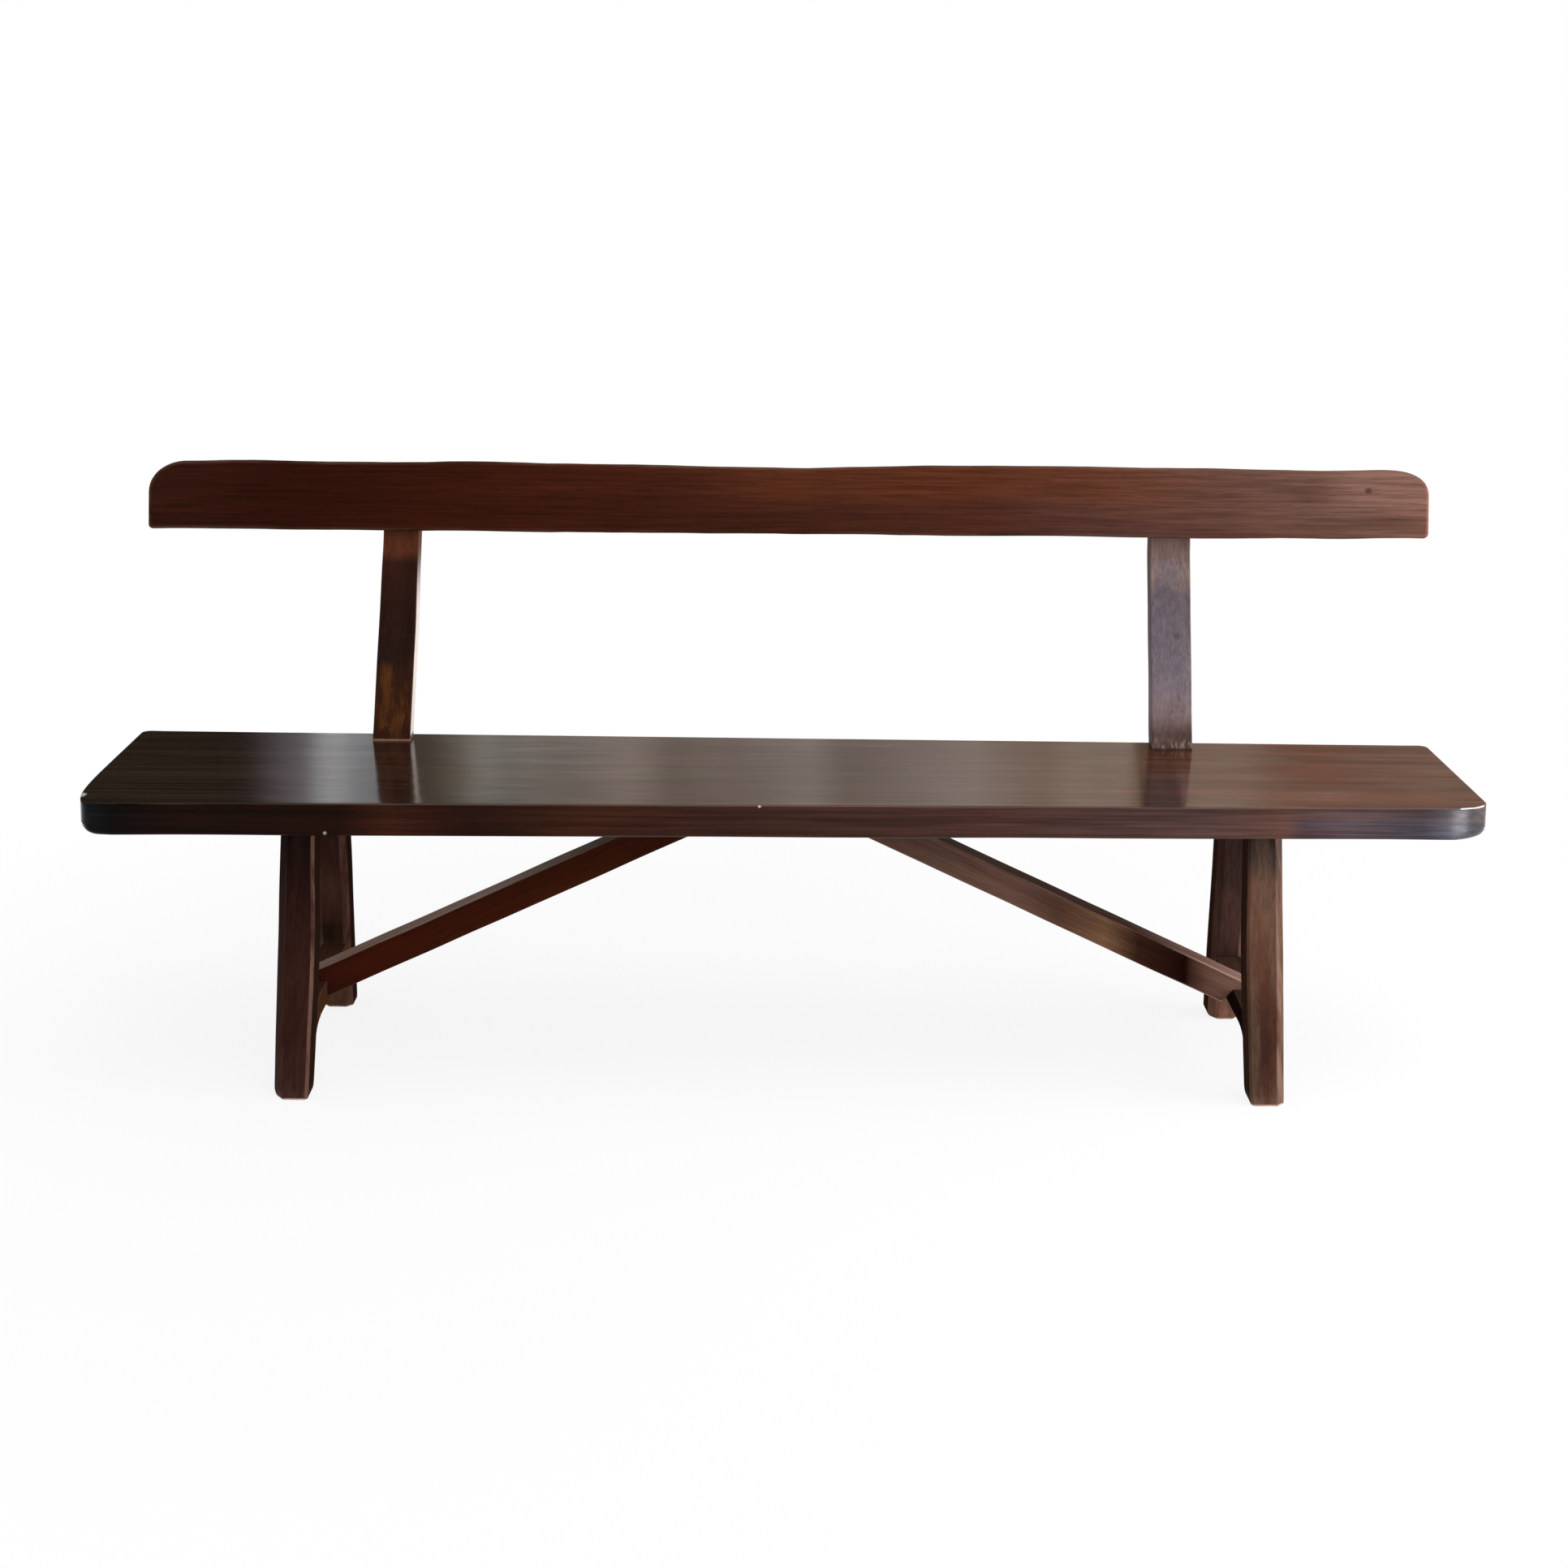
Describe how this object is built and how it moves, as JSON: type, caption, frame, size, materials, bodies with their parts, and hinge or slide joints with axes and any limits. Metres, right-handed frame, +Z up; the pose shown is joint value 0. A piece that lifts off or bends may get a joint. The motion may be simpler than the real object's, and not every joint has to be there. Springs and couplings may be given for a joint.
{
  "type": "plank bench with back",
  "caption": "Long rustic plank bench in dark stained wood with a low back rail on leaning posts, splayed legs and diagonal braces.",
  "frame": {"origin": "on the floor, under the middle of the bench's box", "axes": "+X to the right along the bench as seen from the front, +Y to the back, +Z up; the front faces -Y"},
  "size_m": [2, 0.4928, 0.859],
  "materials": {
    "seat_wood": "dark stain, waxed and polished by use",
    "rail_wood": "dark reddish stain, satin wax",
    "frame_wood": "dark reddish stain, satin wax",
    "wedge_wood": "dark stain over end grain",
    "screw_steel": "dull and darkened"
  },
  "bodies": {
    "root": {"seat_plank": "seat_wood", "back_rail": "rail_wood", "back_post_left": "frame_wood", "back_post_right": "frame_wood", "leg_front_left": "frame_wood", "leg_front_right": "frame_wood", "leg_rear_left": "frame_wood", "leg_rear_right": "frame_wood", "cross_rail_left": "frame_wood", "cross_rail_right": "frame_wood", "brace_left": "frame_wood", "brace_right": "frame_wood", "leg_tenon_wedges": "wedge_wood", "post_tenon_wedges": "wedge_wood", "cross_rail_pegs": "wedge_wood", "back_rail_screws": "screw_steel", "brace_head_screws": "screw_steel", "brace_foot_screws": "screw_steel"}
  },
  "joints": []
}
